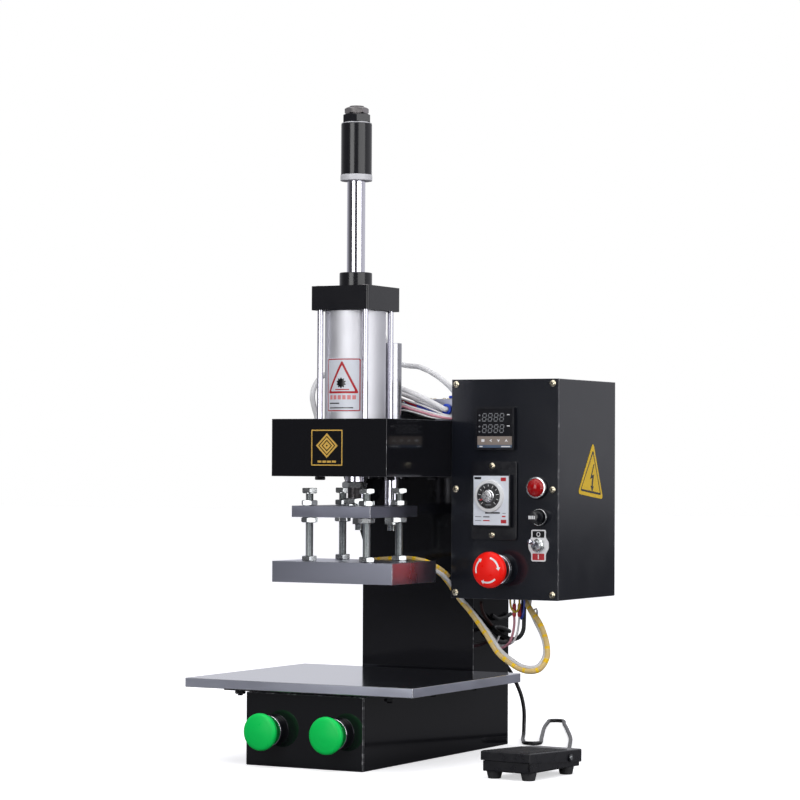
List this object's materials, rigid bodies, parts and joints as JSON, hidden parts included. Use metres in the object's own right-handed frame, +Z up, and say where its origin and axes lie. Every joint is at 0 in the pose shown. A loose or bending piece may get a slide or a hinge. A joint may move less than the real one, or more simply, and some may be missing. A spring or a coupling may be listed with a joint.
{
  "type": "hot foil stamper",
  "caption": "Bench pneumatic hot foil stamper: C-frame with polished work table, air-driven heating plate on guide rods, side control box, twin start buttons and foot pedal.",
  "frame": {"origin": "on the underside of the base, straight below the axis of the press cylinder", "axes": "+X to the operator's right, +Y to the back of the machine, +Z up along the press axis"},
  "size_m": [0.4128, 0.6477, 0.7183],
  "materials": {
    "black_paint": "gloss",
    "control_paint": "satin",
    "mirror_table": "polished",
    "heating_aluminium": "fine milled",
    "ram_aluminium": "fine milled",
    "barrel_aluminium": "satin anodised",
    "valve_aluminium": "satin",
    "chrome_rod": "polished",
    "zinc_steel": "bright zinc",
    "black_anodised": "satin",
    "black_plastic": "satin",
    "white_plastic": "satin",
    "green_plastic": "satin",
    "red_plastic": "satin",
    "clear_tube": "translucent",
    "heater_sleeve": "woven",
    "cord_rubber": "satin",
    "treadle_paint": "satin"
  },
  "bodies": {
    "machine": {"base_housing": "black_paint", "base_bottom_plate": "black_paint", "table_carrier": "black_paint", "work_table": "mirror_table", "column": "black_paint", "head_housing": "black_paint", "head_plate": "black_paint", "guide_bush_left": "chrome_rod", "guide_bush_right": "chrome_rod", "cylinder_lower_cap": "black_anodised", "cylinder_barrel": "barrel_aluminium", "cylinder_upper_cap": "black_anodised", "rod_bush": "black_anodised", "tie_rod_1": "chrome_rod", "tie_rod_2": "chrome_rod", "tie_rod_3": "chrome_rod", "tie_rod_4": "chrome_rod", "solenoid_valve": "valve_aluminium", "air_tube_extend": "clear_tube", "air_tube_retract": "clear_tube", "control_box": "control_paint", "control_cover": "control_paint", "temperature_controller": "black_plastic", "timer_body": "white_plastic", "pilot_lamp": "red_plastic", "fuse_holder": "black_plastic", "toggle_switch": "zinc_steel", "estop_body": "black_plastic", "solid_state_relay": "white_plastic", "start_body_left": "black_plastic", "start_body_right": "black_plastic", "pedal_base": "treadle_paint", "pedal_pin": "zinc_steel", "pedal_switch": "black_plastic", "cord_gland": "black_plastic", "pedal_cord": "cord_rubber", "heater_harness": "heater_sleeve"},
    "ram": {"piston_rod": "chrome_rod", "piston": "black_anodised", "stroke_sleeve": "black_anodised", "stroke_lock_nut": "black_anodised", "ram_nut": "zinc_steel", "ram_plate": "ram_aluminium", "heating_plate": "heating_aluminium", "guide_rod_left": "chrome_rod", "guide_rod_right": "chrome_rod", "heater_cartridge_left": "zinc_steel", "heater_cartridge_right": "zinc_steel", "levelling_bolt_1": "zinc_steel", "levelling_bolt_2": "zinc_steel", "levelling_bolt_3": "zinc_steel", "levelling_bolt_4": "zinc_steel"},
    "start_left": {"start_button_left": "green_plastic"},
    "start_right": {"start_button_right": "green_plastic"},
    "timer_dial": {"timer_knob": "black_plastic"},
    "fuse_cap_body": {"fuse_cap": "black_plastic"},
    "toggle_arm": {"toggle_lever": "chrome_rod"},
    "stop_plunger": {"estop_plunger": "zinc_steel"},
    "stop_head": {"estop_button": "red_plastic"},
    "treadle": {"pedal_treadle": "treadle_paint"}
  },
  "joints": [
    {"name": "ram_slide", "type": "slide", "parent": "machine", "child": "ram", "axis": [0, 0, -1], "range_m": [0, 0.1], "deforming": ["heater_harness"]},
    {"name": "start_left_press", "type": "slide", "parent": "machine", "child": "start_left", "axis": [0, 1, 0], "range_m": [0, 0.005], "stiffness_N_per_m": 800, "springref_m": -0.001},
    {"name": "start_right_press", "type": "slide", "parent": "machine", "child": "start_right", "axis": [0, 1, 0], "range_m": [0, 0.005], "stiffness_N_per_m": 800, "springref_m": -0.001},
    {"name": "stop_press", "type": "slide", "parent": "machine", "child": "stop_plunger", "axis": [0, 1, 0], "range_m": [0, 0.005], "stiffness_N_per_m": 1200, "springref_m": -0.001},
    {"name": "stop_twist", "type": "hinge", "parent": "stop_plunger", "child": "stop_head", "pos_m": [0.1333, 0.0666, 0.2084], "axis": [0, -1, 0], "range_deg": [-40, 0], "stiffness_Nm_per_rad": 0.08},
    {"name": "toggle_flip", "type": "hinge", "parent": "machine", "child": "toggle_arm", "pos_m": [0.1804, 0.0901, 0.2353], "axis": [1, 0, 0], "range_deg": [0, 26]},
    {"name": "timer_turn", "type": "hinge", "parent": "machine", "child": "timer_dial", "pos_m": [0.1243, 0.0716, 0.2891], "axis": [0, 1, 0], "range_deg": [0, 270]},
    {"name": "fuse_cap_turn", "type": "hinge", "parent": "machine", "child": "fuse_cap_body", "pos_m": [0.1815, 0.0816, 0.2664], "axis": [0, -1, 0], "range_deg": [0, 60]},
    {"name": "treadle_press", "type": "hinge", "parent": "machine", "child": "treadle", "pos_m": [0.24044, -0.01531, 0.0182], "axis": [0.9962, -0.0872, 0], "range_deg": [0, 4.5], "stiffness_Nm_per_rad": 12, "springref_deg": -3.44}
  ]
}
